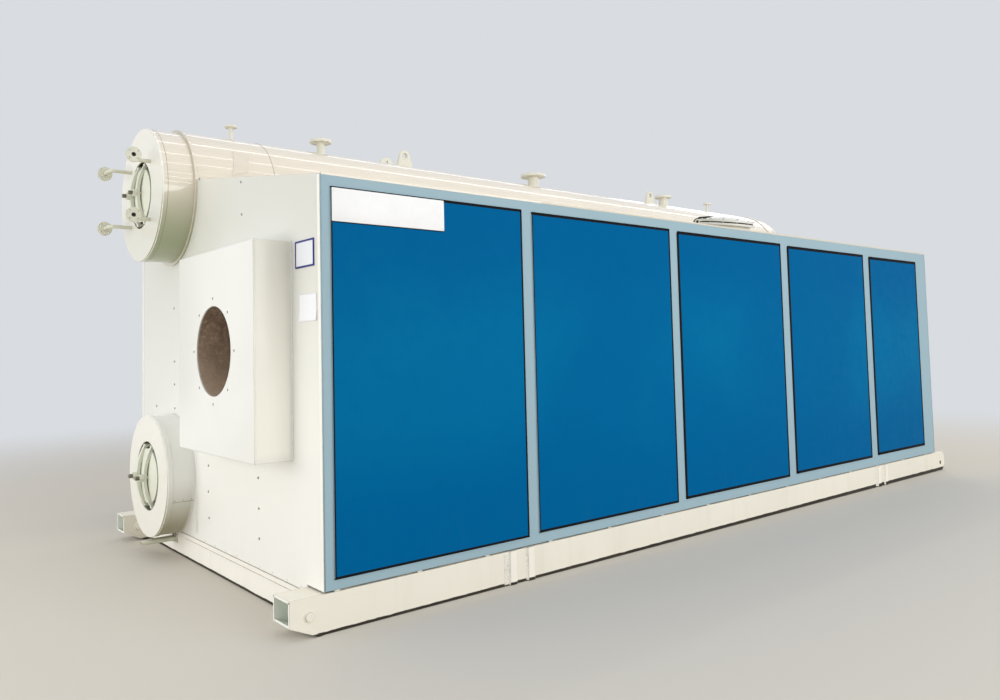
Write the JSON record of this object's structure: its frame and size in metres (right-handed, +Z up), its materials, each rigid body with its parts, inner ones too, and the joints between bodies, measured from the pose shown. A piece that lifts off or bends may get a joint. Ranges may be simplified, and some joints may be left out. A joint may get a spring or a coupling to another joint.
{
  "type": "packaged two-drum water-tube boiler",
  "caption": "Long box-shaped packaged boiler on a skid, with a lagged steam drum along the roof, a mud drum below it, a front windbox with a round burner port and panelled sides.",
  "frame": {"origin": "middle of the bounding box, on the ground under the skid", "axes": "+Z up, the burner end faces -Y and the panelled right side faces +X"},
  "size_m": [3.358, 9.0846, 3.603],
  "materials": {
    "skid_paint": "satin",
    "frame_paint": "satin",
    "panel_paint": "gloss",
    "seal_rubber": "matte",
    "dark_steel": "matte",
    "throat_lining": "matte",
    "lagging_paint": "satin",
    "end_paint": "satin",
    "head_paint": "satin",
    "fitting_paint": "satin",
    "pipe_paint": "satin",
    "casing_paint": "gloss"
  },
  "bodies": {
    "root": {"base_beam_right": "skid_paint", "base_beam_left": "skid_paint", "cross_beams": "skid_paint", "hauling_pins": "skid_paint", "towing_lugs": "skid_paint", "floor_plate": "dark_steel", "front_wall": "casing_paint", "rear_wall": "casing_paint", "right_wall": "frame_paint", "left_wall": "frame_paint", "right_panel_1": "panel_paint", "right_panel_2": "panel_paint", "right_panel_3": "panel_paint", "right_panel_4": "panel_paint", "right_panel_5": "panel_paint", "left_panels": "panel_paint", "panel_seals": "seal_rubber", "roof_right": "lagging_paint", "roof_left": "lagging_paint", "upper_drum_shell": "lagging_paint", "upper_drum_collars": "lagging_paint", "upper_front_cover": "end_paint", "upper_rear_cover": "end_paint", "upper_drum_heads": "head_paint", "upper_manhole_covers": "head_paint", "upper_manhole_yokes": "head_paint", "lower_drum_shell": "casing_paint", "lower_front_cover": "end_paint", "lower_rear_cover": "end_paint", "lower_drum_heads": "head_paint", "lower_manhole_covers": "head_paint", "lower_manhole_yokes": "head_paint", "windbox": "casing_paint", "burner_throat": "throat_lining", "gauge_pipes": "pipe_paint", "vent_nozzles": "fitting_paint", "small_steam_nozzle": "fitting_paint", "main_steam_nozzle": "fitting_paint", "safety_nozzle": "fitting_paint", "lifting_lugs": "fitting_paint", "relief_door_neck": "casing_paint", "relief_door_seal": "seal_rubber", "relief_door_lid": "casing_paint", "relief_door_strap": "dark_steel", "drain_pipes": "pipe_paint"}
  },
  "joints": []
}
